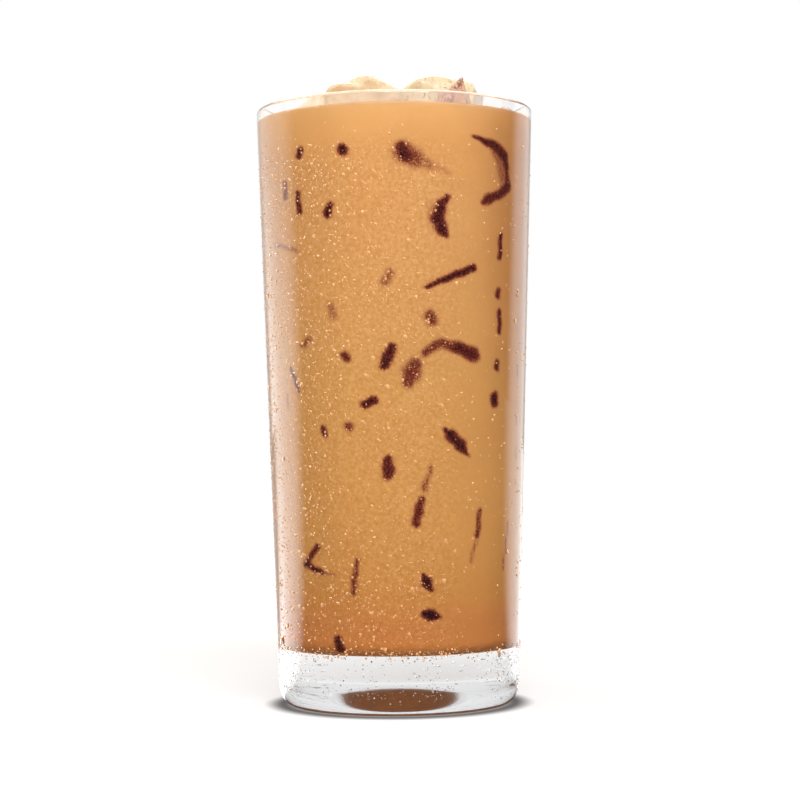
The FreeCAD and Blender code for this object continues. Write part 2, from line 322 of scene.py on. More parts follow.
def make_coffee_material():
    """Coffee with milk, poured cold: opaque and satin, with painted light at the top, painted
    shade low down and on the right, painted glints and shade under the fine mist, and dark where
    clear ice rests against the glass."""
    material, tree = new_material("milk_coffee_still")
    on_piece = {"Vector": add_node(tree, "TexCoord").outputs["Object"]}
    spread = add_node(tree, "SeparateXYZ", links=on_piece)
    lowest, highest = COFFEE_AND_LIGHT_BY_HEIGHT[0][0], COFFEE_AND_LIGHT_BY_HEIGHT[-1][0]
    share = add_node(
        tree, "MapRange", values={"From Min": lowest * MM, "From Max": highest * MM},
        links={"Value": spread.outputs["Z"]},
    )
    # This colour carries painted light at the top and underside and painted shade low down.
    colour_and_light_by_height = add_node(tree, "ValToRGB", links={"Fac": share})
    stops = [((h - lowest) / (highest - lowest), colour) for h, colour in COFFEE_AND_LIGHT_BY_HEIGHT]
    set_stops(colour_and_light_by_height, stops)
    drift = add_node(
        tree, "TexNoise",
        values={"Scale": 1 / (MILK_DRIFT * MM), "Detail": 2.0, "Roughness": 0.45}, links=on_piece,
    )
    drift_share = add_node(
        tree, "MapRange", values={"From Min": 0.3, "From Max": 0.7, "To Max": 0.22},
        links={"Value": drift},
    )
    drifted = add_node(
        tree, "Mix", COLOUR_MIX, values={7: hex_colour("#c98f4e")},
        links={0: drift_share, 6: colour_and_light_by_height},
    )
    # Painted shade: on the right, above the middle, the colour is darkened.
    rightward = add_node(
        tree, "MapRange", SMOOTH_RISE, values={"From Min": 17 * MM, "From Max": 33 * MM},
        links={"Value": spread.outputs["X"]},
    )
    higher = add_node(
        tree, "MapRange", SMOOTH_RISE,
        values={"From Min": 50 * MM, "From Max": 115 * MM, "To Min": 0.1, "To Max": 0.62},
        links={"Value": spread.outputs["Z"]},
    )
    right_painted_shade = add_node(tree, "Math", TIMES, links={0: rightward, 1: higher})
    drifted = add_node(
        tree, "Mix", COLOUR_MIX, values={7: hex_colour("#b87a40")},
        links={0: right_painted_shade, 6: drifted.outputs[2]},
    )
    # Painted highlights and painted shade of mist too fine to model bead by bead lighten
    # and darken the colour behind it, most of all in front on the left.
    mist = add_node(
        tree, "TexNoise", values={"Scale": 1 / (MIST_GRAIN * MM), "Detail": 1.5, "Roughness": 0.6},
        links=on_piece,
    )
    misted = add_node(tree, "Attribute", {"attribute_name": "mist"})
    mist_glint_and_shade = add_node(
        tree, "MapRange",
        values={"From Min": 0.32, "From Max": 0.68, "To Min": -1.0, "To Max": 1.0},
        links={"Value": mist},
    )
    painted_mist_light_share = add_node(tree, "Math", TIMES, links={0: mist_glint_and_shade, 1: misted.outputs["Fac"]})
    painted_mist_light = add_node(
        tree, "VectorMath", {"operation": "MULTIPLY_ADD"},
        values={1: (0.07, 0.13, 0.24), 2: (1.0, 0.99, 0.96)}, links={0: painted_mist_light_share},
    )
    with_painted_mist_light = add_node(tree, "VectorMath", TIMES, links={0: drifted.outputs[2], 1: painted_mist_light})
    # The marks' edges break up into grains.
    mark = add_node(tree, "Attribute", {"attribute_name": "ice_contact"})
    grain = add_node(
        tree, "TexNoise", values={"Scale": 1 / (MARK_GRAIN * MM), "Detail": 1.0, "Roughness": 0.5},
        links=on_piece,
    )
    grained = add_node(
        tree, "MapRange",
        values={"From Min": 0.3, "From Max": 0.7, "To Min": 0.72, "To Max": 1.28},
        links={"Value": grain},
    )
    darkness = add_node(
        tree, "Math", {"operation": "MULTIPLY", "use_clamp": True},
        links={0: mark.outputs["Fac"], 1: grained},
    )
    tone = add_node(tree, "ValToRGB", links={"Fac": darkness})
    set_stops(tone, MARK_TONES)
    cover = add_node(
        tree, "MapRange", SMOOTH_RISE, values={"From Max": 0.56}, links={"Value": darkness},
    )
    colour = add_node(tree, "Mix", COLOUR_MIX, links={0: cover, 6: with_painted_mist_light, 7: tone})
    surface = add_node(
        tree, "BsdfPrincipled",
        values={"Roughness": 0.42, "IOR": 1.34, "Specular IOR Level": 0.12},
        links={"Base Color": colour.outputs[2]},
    )
    add_node(tree, "OutputMaterial", links={"Surface": surface})
    return material


ICE_CLOUD = 7.0          # mm across: the clouds in the ice,
VEIN_GAP = 5.0           # from one winding vein to the next,
SPECK_GAP = 1.1          # from one speck of trapped coffee to the next,
MELT_RIPPLE = 1.5        # and from ripple to ripple of its melting skin


def make_ice_material(name, body, shade, vein, veins, specks, clear):
    """Ice frozen from tap water and half melted in milky coffee: a wet smooth skin
    over a cream body, cloudier and browner in veins where coffee has got in.  Veins,
    specks and clear say how much of each it has, 0 to 1."""
    material, tree = new_material(name)
    on_piece = {"Vector": add_node(tree, "TexCoord").outputs["Object"]}
    cloud = add_node(
        tree, "TexNoise", values={"Scale": 1 / (ICE_CLOUD * MM), "Detail": 3.0, "Roughness": 0.55},
        links=on_piece,
    )
    cloudy = add_node(tree, "ValToRGB", links={"Fac": cloud})
    set_stops(cloudy, [(0.36, shade), (0.62, body)])
    crack = add_node(
        tree, "TexNoise",
        values={"Scale": 1 / (VEIN_GAP * MM), "Detail": 3.0, "Roughness": 0.6, "Distortion": 1.2},
        links=on_piece,
    )
    off_vein = add_node(tree, "Math", {"operation": "SUBTRACT"}, values={1: 0.5}, links={0: crack})
    vein_side = add_node(tree, "Math", {"operation": "ABSOLUTE"}, links={0: off_vein})
    veined = add_node(
        tree, "MapRange", SMOOTH_RISE, values={"From Max": 0.035, "To Min": veins, "To Max": 0.0},
        links={"Value": vein_side},
    )
    colour = add_node(
        tree, "Mix", COLOUR_MIX, values={7: hex_colour(vein)}, links={0: veined, 6: cloudy},
    )
    fine = add_node(
        tree, "TexNoise", values={"Scale": 1 / (SPECK_GAP * MM), "Detail": 1.0}, links=on_piece,
    )
    specked = add_node(
        tree, "MapRange", SMOOTH_RISE,
        values={"From Min": 0.6, "From Max": 0.68, "To Max": specks}, links={"Value": fine},
    )
    stained = add_node(
        tree, "Mix", COLOUR_MIX, values={7: hex_colour(vein)},
        links={0: specked, 6: colour.outputs[2]},
    )
    ripple = add_node(
        tree, "TexNoise", values={"Scale": 1 / (MELT_RIPPLE * MM), "Detail": 2.0}, links=on_piece,
    )
    bump = add_node(
        tree, "Bump", values={"Strength": 0.2, "Distance": 0.3 * MM}, links={"Height": ripple},
    )
    surface = add_node(
        tree, "BsdfPrincipled",
        values={"Roughness": 0.1, "IOR": 1.31, "Transmission Weight": clear},
        links={"Base Color": stained.outputs[2], "Normal": bump},
    )
    let_light_through(tree, surface, "#c8b898", "#8a7a62")
    return material


WATER_TURN = 1.2         # mm from a bead painted light to one painted dark


def make_water_material():
    """Cold water condensed in beads on the glass, each a small lens: clear over the base,
    and over the coffee a pale coffee colour, painted light for what each bead gathers."""
    material, tree = new_material("condensed_water")
    on_piece = {"Vector": add_node(tree, "TexCoord").outputs["Object"]}
    height = add_node(tree, "SeparateXYZ", links=on_piece)
    over_coffee = add_node(
        tree, "MapRange", values={"From Min": (FLOOR - 1.5) * MM, "From Max": FLOOR * MM},
        links={"Value": height.outputs["Z"]},
    )
    # Over the base some beads are painted white for the light they gather and some painted
    # dark for the dark room they show, in turn.
    turns = add_node(
        tree, "TexNoise", values={"Scale": 1 / (WATER_TURN * MM), "Detail": 0.0}, links=on_piece,
    )
    turned = add_node(
        tree, "MapRange", values={"From Min": 0.48, "From Max": 0.54}, links={"Value": turns},
    )
    base_painted_glint_and_dark = add_node(
        tree, "Mix", COLOUR_MIX, values={6: hex_colour("#8c8078"), 7: hex_colour("#ffffff")},
        links={0: turned},
    )
    # Over the coffee the beads are painted a pale coffee colour for the light they gather.
    lit = add_node(
        tree, "Mix", COLOUR_MIX, values={7: hex_colour("#f4c080")},
        links={0: over_coffee, 6: base_painted_glint_and_dark.outputs[2]},
    )
    clear = add_node(
        tree, "MapRange", values={"To Min": 0.9, "To Max": 0.3}, links={"Value": over_coffee},
    )
    rough = add_node(
        tree, "MapRange", values={"To Min": 0.06, "To Max": 0.22}, links={"Value": over_coffee},
    )
    surface = add_node(
        tree, "BsdfPrincipled", values={"IOR": 1.333},
        links={"Base Color": lit.outputs[2], "Transmission Weight": clear, "Roughness": rough},
    )
    let_light_through(tree, surface, "#fafafa", "#b0b0b0")
    return material


GLASS = make_glass_material()
COFFEE = make_coffee_material()
ICE_CREAM = make_ice_material("melting_ice_cream", "#efdcb2", "#d5b686", "#b98f60", 0.3, 0.2, 0.3)
ICE_PALE = make_ice_material("melting_ice_pale", "#eee0ba", "#d8c498", "#b48c5c", 0.25, 0.8, 0.35)
ICE_BROWN = make_ice_material(
    "melting_ice_coffee_stained", "#dcac86", "#b98a60", "#70442c", 0.9, 0.8, 0.2,
)
WATER = make_water_material()


# ------------------------------ the glass
GLASS_ROUND = 256        # steps of its spin, and of each stretch of its half section
DOME_STEPS, EDGE_STEPS, HEEL_STEPS, WALL_STEPS, LIP_STEPS = 24, 8, 28, 24, 12


def make_glass():
    """The tumbler's half section, from the middle of the domed underside round the
    foot, up the outside, over the lip and down to the middle of the inside floor."""
    dome = (PUNT_RADIUS ** 2 + PUNT_RISE ** 2) / (2 * PUNT_RISE)
    under = PUNT_RISE - dome
    # The edge's arc touches the resting plane and the dome from outside.
    edge = (math.sqrt((dome + PUNT_EDGE) ** 2 - (PUNT_EDGE - under) ** 2), PUNT_EDGE)
    touch = math.degrees(math.atan2(edge[1] - under, edge[0]))
    points = arc((0, under), dome, 90, touch, DOME_STEPS)
    points += arc(edge, PUNT_EDGE, 180 + touch, 270, EDGE_STEPS)[1:]
    ring = FOOT_RADIUS - HEEL_REACH
    points += [(edge[0] + (ring - edge[0]) * share, 0) for share in (0.1, 0.5, 0.9)]
    points += [
        (ring + HEEL_REACH * math.sin(turn), HEEL_HEIGHT * (1 - math.cos(turn)))
        for turn in (math.pi / 2 * i / HEEL_STEPS for i in range(HEEL_STEPS + 1))
    ]
    lean = math.degrees(math.atan(LEAN))
    lip = (RIM_RADIUS - RIM_WALL / 2, LIP_MIDDLE)
    points += [(wall_outside(h), h) for h in between(HEEL_HEIGHT, LIP_MIDDLE, WALL_STEPS)]
    points += arc(lip, RIM_WALL / 2, -lean, 180 - lean, LIP_STEPS)
    points += [(wall_inside(h), h) for h in between(LIP_MIDDLE, CORNER_TOP, WALL_STEPS)]
    points += arc(CORNER, FLOOR_CORNER, 0, -90, CORNER_STEPS)
    points += [(CORNER[0] * (i / FLOOR_STEPS), FLOOR) for i in reversed(range(FLOOR_STEPS))]
    piece = trace_section("tumbler_glass", points)
    spin_section([(360, GLASS_ROUND)])
    finish_piece(piece)
    return register(piece, "glass", GLASS, "tumbler")


# ------------------------------ the coffee
FRONT_ARC = 170.0        # degrees of the coffee's wall that are finely divided
FRONT_STEPS, BACK_STEPS = 205, 110
WALL_ROWS = 280

# Where ice rests against the glass: a path of (degrees round from the front,
# mm up, mm wide) and how dark it is.
ICE_CONTACTS = [
    ([(-22, 150, 2.4), (-21.5, 149.5, 2.6)], 0.95),
    ([(-42.4, 150.6, 1.9), (-43.6, 149, 1.6)], 0.92),
    ([(3.0, 149.8, 3.0), (4.6, 147.9, 3.8)], 0.88),
    ([(3.8, 148.6, 5.6), (8.5, 147.0, 4.8)], 0.52),
    ([(8.5, 147.0, 4.6), (14.5, 145.4, 3.0)], 0.36),
    ([(14.5, 145.4, 2.8), (23, 143.4, 1.6)], 0.25),
    ([(34.5, 153.5, 0.6), (41, 152.4, 1.8), (48, 151.2, 2.8), (53, 149, 2.8),
      (54.5, 146, 2.0)], 0.88),
    ([(46, 150, 2.4), (51, 147.5, 4.6), (52.5, 143.5, 4.2)], 0.42),
    ([(54.8, 145, 1.4), (55.8, 141.4, 2.8), (50, 138.7, 2.2), (43, 137.2, 2.6),
      (40.4, 136.2, 1.6)], 0.84),
    ([(23, 137.2, 1.0), (19.6, 135, 2.4), (18.2, 131.2, 3.4), (19.8, 128.6, 2.8),
      (22, 126.8, 1.4)], 0.92),
    ([(17, 134.0, 4.6), (17, 131.0, 4.6)], 0.26),
    ([(-45, 139.5, 1.3), (-44.4, 134.5, 1.6)], 0.95),
    ([(-53, 142.5, 1.3), (-53, 138.5, 1.4)], 0.8),
    ([(-28.2, 135.2, 1.8), (-29.4, 133.2, 2.2)], 0.95),
    ([(-63, 126.5, 1.4), (-55, 125.5, 1.2), (-47, 124, 1.4)], 0.4),
    ([(51.3, 128, 1.3), (51, 122, 1.5)], 0.95),
    ([(13, 113.2, 0.9), (24, 116, 1.5), (35.5, 118.6, 1.8)], 1.0),
    ([(-2.5, 117, 2.4), (-4, 115, 2.8)], 0.46),
    ([(50.7, 113.2, 1.4), (50, 111.6, 1.8)], 0.88),
    ([(51.4, 107.5, 1.5), (51.6, 102, 1.4)], 0.95),
    ([(15, 105.5, 3.2), (15.5, 104.5, 3.2)], 0.6),
    ([(-29.5, 109, 2.2), (-27.5, 106, 2.4)], 0.4),
    ([(-46, 98.5, 1.4), (-43.5, 99, 2.0), (-41, 100.5, 1.4)], 0.5),
    ([(-22.5, 95.5, 2.2), (-22, 95, 2.2)], 0.8),
    ([(-2, 97.5, 2.0), (-3, 95.5, 2.6), (-5.5, 92.5, 2.0)], 0.95),
    ([(8, 92.5, 4.0), (6.5, 90.5, 4.6), (5.5, 88.5, 3.4)], 0.6),
    ([(12.5, 96, 2.2), (19.5, 98.5, 2.4), (27, 97.5, 2.8)], 0.62),
    ([(27, 97.5, 2.8), (36, 95.5, 3.6)], 0.84),
    ([(-54, 92.5, 1.0), (-51, 90, 1.2), (-49, 86.5, 1.0)], 0.75),
    ([(-57.5, 85.5, 0.8), (-57, 81.5, 0.8)], 0.45),
    ([(-14.5, 82.5, 1.8), (-10, 83.5, 2.0)], 0.95),
    ([(-22, 77, 2.2), (-21, 76.5, 2.2)], 0.6),
    ([(-34.5, 76.5, 1.5), (-34, 75, 1.7)], 0.85),
    ([(49, 84.5, 2.6), (49, 83, 2.6)], 0.95),
    ([(50.5, 93.8, 1.5), (50.2, 92.2, 1.8)], 0.85),
    ([(22.2, 75.6, 1.2), (25, 74, 2.9), (29.5, 71.6, 2.9), (33.4, 68.8, 0.8)], 0.92),
    ([(-4, 68, 2.0), (-4, 65.5, 3.0), (-4, 64, 2.6)], 0.85),
    ([(15.5, 66, 1.2), (12, 60, 1.7)], 0.5),
    ([(11, 57.5, 1.6), (9.5, 54, 2.2), (8.5, 51, 2.0)], 0.8),
    ([(40.5, 54, 1.2), (39.5, 47.5, 1.5)], 0.75),
    ([(39.5, 47.5, 1.4), (35.5, 40.5, 1.0)], 0.45),
    ([(62, 50.5, 0.8), (58, 38, 1.0)], 0.5),
    ([(-40, 45, 1.4), (-44, 42.5, 1.5), (-48, 40, 1.6)], 0.85),
    ([(-48, 40, 1.6), (-43, 39, 1.5), (-38, 38, 1.4)], 0.85),
    ([(-38, 38, 1.2), (-31, 37.5, 1.0)], 0.4),
    ([(-19, 41.5, 1.3), (-20.5, 37, 1.7), (-21.5, 32.5, 1.6)], 0.6),
    ([(11.8, 37.3, 1.0), (13.4, 35.4, 2.4), (15.2, 33.6, 1.4)], 0.97),
    ([(12, 27.3, 1.6), (15, 26.8, 2.8), (18.6, 26.2, 1.4)], 1.0),
    ([(-30, 20.5, 2.0), (-29, 18, 2.6)], 0.85),
    ([(68.5, 93, 0.8), (68.5, 90.5, 0.8)], 0.5),
    ([(68.5, 79, 0.8), (69, 77, 0.8)], 0.5),
    ([(69.5, 71, 0.8), (69.5, 68.5, 0.8)], 0.5),
]
BACK_CONTACTS = 46       # the same kind of marks round the back
CONTACT_EDGE = 1.0       # mm over which the finest mark fades out,
EDGE_SHARE = 0.95        # and this share of half a wider mark's width more
MELTED = 0.15            # mm by which melting leaves the edges uneven
NEAR_WALL = 0.6          # mm from the glass within which marks and mist show


def back_contacts():
    """Marks for the back of the coffee, drawn like those in front."""
    marks = []
    for _ in range(BACK_CONTACTS):
        around, height = RANDOM.uniform(82, 278), RANDOM.uniform(20, 155)
        heading, length = RANDOM.uniform(0, math.pi), RANDOM.choice([1.0, 3.0, 5.0, 8.0])
        width, dark = RANDOM.uniform(1.0, 3.0), RANDOM.uniform(0.4, 1.0)
        end = (
            around + math.degrees(math.cos(heading) * length / DRINK_MIDDLE),
            height + math.sin(heading) * length,
            width * 0.7,
        )
        marks.append(([(around, height, width), end], dark))
    return marks


def ease(values, low, high):
    """0 up to low, 1 from high, and a smooth rise between."""
    share = np.clip((values - low) / (high - low), 0, 1)
    return share * share * (3 - 2 * share)


WETTEST = -28            # degrees round where the water in front is thickest


def wetness(around, height):
    """How thickly water has condensed on the outside, 0 to 1: thick in front on the
    left and round the back, thin on the right and under the rim, and on the base
    mostly towards the sides.  Degrees round from the front, mm up."""
    front = 1 - ease(np.abs(around - WETTEST), 40, 68)
    back = 0.5 * ease(np.abs(around), 104, 128)
    wall = (0.13 + 0.87 * front + back) * (1 - ease(height, 144, 158))
    base = 0.1 + 0.9 * ease(np.abs(around), 38, 62) * (1 - 0.9 * ease(np.abs(around), 95, 115))
    base = base + 0.4 * (1 - ease(np.abs(around), 24, 30)) * (1 - ease(height, 7.5, 8.5))
    return np.clip(np.where(height < BASE_TOP, base, wall), 0.0, 1.0)


def contact_strength(around, height, marks):
    """How dark each place on the wall is, from the marks' paths; degrees and mm."""
    strength = np.zeros(len(around))
    for path, dark in marks:
        for (a0, z0, w0), (a1, z1, w1) in zip(path, path[1:]):
            radius = wall_inside((z0 + z1) / 2)
            turn = (around - a0 + 180) % 360 - 180
            across = np.radians(turn) * radius + MELTED * np.sin(height * 1.3 + a0)
            up = height - z0 + MELTED * np.sin(turn * 0.8 + z0)
            run, rise = math.radians(a1 - a0) * radius, z1 - z0
            along = np.clip((across * run + up * rise) / max(run ** 2 + rise ** 2, 1e-9), 0, 1)
            away = np.hypot(across - along * run, up - along * rise)
            half = (w0 + (w1 - w0) * along) * 0.55
            edge = CONTACT_EDGE + EDGE_SHARE * half
            fade = np.clip((half + edge / 2 - away) / edge, 0, 1)
            strength = np.maximum(strength, dark * fade * fade * (3 - 2 * fade))
    return strength


def make_coffee():
    """The coffee: the glass's inside up to the level, with a curved edge up the wall,
    finely divided in front where the ice's marks show."""
    edge = LEVEL + MENISCUS_RISE
    points = [(CORNER[0] * (i / FLOOR_STEPS), FLOOR - INTO_GLASS) for i in range(FLOOR_STEPS)]
    points += arc(CORNER, FLOOR_CORNER + INTO_GLASS, -90, 0, CORNER_STEPS - 1)
    heights = [*between(CORNER_TOP, edge, WALL_ROWS), edge]
    points += [(wall_inside(h) + INTO_GLASS, h) for h in heights]
    inner = wall_inside(edge)
    points += [
        (inner - MENISCUS_REACH * s, LEVEL + MENISCUS_RISE * (1 - s) ** 3)
        for s in (0.05, 0.15, 0.3, 0.5, 0.75, 1.0)
    ]
    points += [((inner - MENISCUS_REACH) * s, LEVEL) for s in (0.85, 0.65, 0.45, 0.25, 0.0)]
    piece = trace_section("milk_coffee", points, turned=-90 - FRONT_ARC / 2)
    spin_section([(FRONT_ARC, FRONT_STEPS), (360 - FRONT_ARC, BACK_STEPS)])
    finish_piece(piece)
    x, y, z = corners_of(piece).T / MM
    around = np.degrees(np.arctan2(x, -y))
    near_wall = np.hypot(x, y) > wall_inside(z) - NEAR_WALL
    strength = contact_strength(around, z, ICE_CONTACTS + back_contacts()) * near_wall
    for name, values in (("ice_contact", strength), ("mist", wetness(around, z) * near_wall)):
        layer = piece.data.attributes.new(name, "FLOAT", "POINT")
        layer.data.foreach_set("value", values.astype(np.float32))
    return register(piece, "coffee", COFFEE, "drink")


# ------------------------------ the ice
SWELL_SIZE, PIT_SIZE = 9.0, 2.4  # mm across, in the ice's uneven skin


def make_lump(name, blocks, rounding, wobble, voxel=0.5):
    """A half-melted lump of one or more blocks grown together.  Each is set down at
    its place, flats are cut across it and its edges rounded; then the skin is made
    uneven.  Blocks are (size, middle, turn, lean, flats), in mm and degrees, and each
    flat is a place on it and the way it faces."""
    parts = []
    for size, middle, turn, lean, flats in blocks:
        part = start_piece(name, bpy.ops.mesh.primitive_cube_add, size=MM)
        bpy.ops.object.mode_set(mode="EDIT")
        bpy.ops.transform.resize(value=size)
        for degrees, axis in ((turn, "Z"), (lean, "Y")):
            # With no window the rotation runs the other way round.
            bpy.ops.transform.rotate(
                value=-math.radians(degrees), orient_axis=axis, center_override=(0, 0, 0)
            )
        bpy.ops.transform.translate(value=Vector(middle) * MM)
        for place, facing in flats:
            bpy.ops.mesh.select_all(action="SELECT")
            bpy.ops.mesh.bisect(
                plane_co=Vector(place) * MM, plane_no=Vector(facing).normalized(),
                use_fill=True, clear_outer=True,
            )
        bpy.ops.mesh.select_all(action="SELECT")
        bpy.ops.mesh.remove_doubles(threshold=0.01 * MM)
        bpy.ops.mesh.normals_make_consistent(inside=False)
        bevel = ("BEVEL", {"width": rounding * MM, "segments": 4, "use_clamp_overlap": True})
        parts.append(finish_piece(part, [bevel]))
    if len(parts) > 1:
        bpy.ops.object.select_all(action="DESELECT")
        for part in parts:
            part.select_set(True)
        bpy.context.view_layer.objects.active = parts[0]
        bpy.ops.object.join()
    piece = parts[0]
    piece.name = piece.data.name = name
    swell = bpy.data.textures.new(name + "_swell", "CLOUDS")
    swell.noise_scale = SWELL_SIZE * MM
    pits = bpy.data.textures.new(name + "_pits", "CLOUDS")
    pits.noise_scale = PIT_SIZE * MM
    return finish_piece(piece, [
        ("REMESH", {"mode": "VOXEL", "voxel_size": voxel * MM}),
        ("SMOOTH", {"factor": 0.5, "iterations": 12}),
        ("DISPLACE", {"texture": swell, "strength": wobble * MM, "mid_level": 0.5}),
        ("DISPLACE", {"texture": pits, "strength": wobble * 0.3 * MM, "mid_level": 0.5}),
        ("SMOOTH", {"factor": 0.4, "iterations": 2}),
    ])


def middle_of(node):
    """The middle of a CAD node's box, mm."""
    low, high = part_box(node)
    return [(a + b) / 2 / MM for a, b in zip(low, high)]


def make_ice():
    """The lumps that stand out of the coffee."""
    x, y, z = middle_of("ice_left")
    left = make_lump("ice_lump_left", [
        ((29.0, 22.0, 24.0), (x + 1.4, y - 0.5, z), 8, 0, [
            ((-18.0, -10, 169.4), (-0.46, -0.05, 0.89)),
            ((-12.6, -10, 172.4), (-0.52, -0.05, 0.85)),
            ((-8.0, -10, 173.6), (0.03, -0.10, 0.99)),
            ((-3.0, -10, 172.2), (0.42, -0.04, 0.91)),
            ((-12, -11.6, 170), (-0.30, -0.86, 0.42)),
            ((-2.0, -11.0, 169), (0.42, -0.82, 0.38)),
        ]),
        ((8.0, 11.0, 22.0), (-15.6, -8.0, 160.2), 14, 0, [
            ((-15.6, -11, 171.2), (-0.10, -0.08, 0.99)),
            ((-17.6, -11, 170.6), (-0.80, -0.10, 0.6)),
        ]),
        ((7.0, 7.0, 22.0), (0.0, 7.5, 159.5), 0, 0, []),
    ], rounding=0.8, wobble=0.7)
    register(left, "ice", ICE_CREAM, "ice_left")
    x, y, z = middle_of("ice_right")
    right = make_lump("ice_lump_right", [
        ((21.6, 21.5, 23.6), (x - 1.0, y, z), -9, 1, [
            ((4.6, -10, 171.4), (-0.52, -0.05, 0.85)),
            ((8.0, -10, 173.0), (-0.30, -0.08, 0.95)),
            ((12.0, -10, 173.7), (0.0, -0.10, 0.99)),
            ((17.5, -10, 172.9), (0.16, -0.08, 0.98)),
            ((22.0, -10, 171.0), (0.80, -0.05, 0.60)),
            ((13, -11.6, 170), (0.1, -0.86, 0.5)),
        ]),
    ], rounding=1.6, wobble=0.8)
    register(right, "ice", ICE_PALE, "ice_right")
    x, y, z = middle_of("ice_back")
    back = make_lump("ice_lump_back", [
        ((26.5, 14.5, 20.0), (x, y, z), 5, -6, [
            ((x, 28, 167), (0.05, 0.7, 0.7)), ((9, y, 168), (0.6, 0, 0.8)),
        ]),
    ], rounding=3.0, wobble=0.8)
    register(back, "ice", ICE_CREAM, "ice_back")
    x, y, z = middle_of("ice_shard")
    shard = make_lump("ice_shard_stained", [
        ((9.6, 8.0, 20.6), (16.4, y, 161.6), 0, 0, [
            ((15.0, y - 3, 167.9), (-0.68, -0.05, 0.73)),
            ((19.3, y - 3, 168.0), (0.97, -0.05, 0.22)),
            ((16.6, y - 3.6, 166), (-0.50, -0.84, 0.22)),
            ((17.2, y - 3.6, 166), (0.44, -0.86, 0.26)),
        ]),
    ], rounding=0.3, wobble=0.35, voxel=0.35)
    register(shard, "ice", ICE_BROWN, "ice_shard")
    x, y, z = middle_of("ice_chip")
    chip = make_lump("ice_chip_stained", [
        ((5.6, 5.4, 8.0), (x + 0.4, y, z - 1.6), 30, 12, [
            ((29, y, 163.6), (-0.7, 0, 0.7)), ((32.5, y, 163.0), (0.6, -0.2, 0.8)),
        ]),
    ], rounding=0.7, wobble=0.4)
    register(chip, "ice", ICE_BROWN, "ice_chip")


SUNK_HEIGHTS = (30, 56, 82, 108, 135)    # middles of the rings of sunk lumps, mm up
SUNK_TURN = 50           # each ring is turned this much from the one below, degrees
SUNK_OUT = 19            # and its lumps stand this far out, mm


def make_sunk_ice():
    """The lumps under the coffee, in rings of three round the middle: one lump, copied and
    joined in one piece."""
    lump = make_lump(
        "sunk_ice_lump", [((20.0, 15.5, 18.5), (0, 0, 0), 0, 0, [((8, 0, 6), (0.7, 0.1, 0.7))])],
        rounding=2.5, wobble=1.0, voxel=1.2,
    )
    corners, copies = corners_of(lump), []
    for ring, height in enumerate(SUNK_HEIGHTS):
        for third in range(3):
            turn = math.radians(ring * SUNK_TURN + third * 120)
            across, along = math.cos(turn), math.sin(turn)
            spun = corners @ np.array([[across, along, 0], [-along, across, 0], [0, 0, 1]])
            copies.append(spun + np.array((along * SUNK_OUT, -across * SUNK_OUT, height)) * MM)
    piece = join_copies("sunk_ice", lump, copies)
    bpy.data.objects.remove(lump)
    register(piece, "ice", ICE_CREAM)


# ------------------------------ condensed water
BEAD_SINK = 0.02         # a bead sits this deep in the glass, mm


def make_bead(name, around, up, squash):
    """One bead to copy: the outer half of a ball, flattened, closed where it sits on
    the glass.  Its radius is 1 and it stands along +Z."""
    piece = start_piece(
        name, bpy.ops.mesh.primitive_uv_sphere_add, segments=around, ring_count=up, radius=1,
    )
    bpy.ops.object.mode_set(mode="EDIT")
    bpy.ops.mesh.select_all(action="SELECT")
    bpy.ops.mesh.bisect(
        plane_co=(0, 0, 0.02), plane_no=(0, 0, -1), use_fill=True, clear_outer=True,
    )
    bpy.ops.mesh.select_all(action="SELECT")
    bpy.ops.transform.resize(value=(1, 1, squash))
    bpy.ops.mesh.quads_convert_to_tris()
    bpy.ops.mesh.normals_make_consistent(inside=False)
    return finish_piece(piece)


def beads_on_wall(name, bead, places, sizes, tall):
    """Copy one bead to many places (degrees round, mm up) on the outside of the glass.
    Sizes are radii in mm, and tall is how much taller than wide the beads are."""
    corners = corners_of(bead)
    around, height = np.radians(places[:, 0]), places[:, 1]
    out = np.stack([np.sin(around), -np.cos(around), np.full(len(around), -LEAN)], 1)
    out /= np.linalg.norm(out, axis=1)[:, None]
    side = np.stack([np.cos(around), np.sin(around), np.zeros(len(around))], 1)
    up = np.cross(out, side) * -1
    radius = skin_radius(height)
    root = np.stack([np.sin(around) * radius, -np.cos(around) * radius, height], 1)
    wide, long = sizes * RANDOM.uniform(0.85, 1.15, len(sizes)), sizes * tall
    proud = sizes * RANDOM.uniform(0.85, 1.1, len(sizes))
    copies = (
        root[:, None, :]
        + corners[None, :, :1] * (side * wide[:, None])[:, None, :]
        + corners[None, :, 1:2] * (up * long[:, None])[:, None, :]
        + (corners[None, :, 2:] * proud[:, None, None] - BEAD_SINK) * out[:, None, :]
    ) * MM
    return join_copies(name, bead, copies)


def skin_radius(height):
    """Outer radius of the glass at heights in mm, the rounded heel included."""
    turn = np.arccos(np.clip(1 - height / HEEL_HEIGHT, 0, 1))
    heel = FOOT_RADIUS - HEEL_REACH * (1 - np.sin(turn))
    return np.where(height < HEEL_HEIGHT, heel, wall_outside(height))


def bead_places(count, low, high, clumps):
    """Random places on the wall between two heights, as thick as its wetness and
    gathered in clumps.  Degrees round, mm up."""
    middles = RANDOM.uniform((0, low, 4), (360, high, 12), (clumps, 3))
    found = np.empty((0, 2))
    while len(found) < count:
        tried = RANDOM.uniform((-180, low), (180, high), (2000, 2))
        across = np.radians((tried[:, :1] - middles[:, 0] + 180) % 360 - 180) * RIM_RADIUS
        away = np.hypot(across, tried[:, 1:] - middles[:, 1]) / middles[:, 2]
        clump = 0.35 + 0.65 * np.exp(-away ** 2).max(1)
        # Fewer show over the marks.
        clump *= 1 - 0.8 * contact_strength(tried[:, 0], tried[:, 1], ICE_CONTACTS)
        kept = RANDOM.random(len(tried)) < wetness(tried[:, 0], tried[:, 1]) * clump
        found = np.concatenate([found, tried[kept]])
    return found[:count]


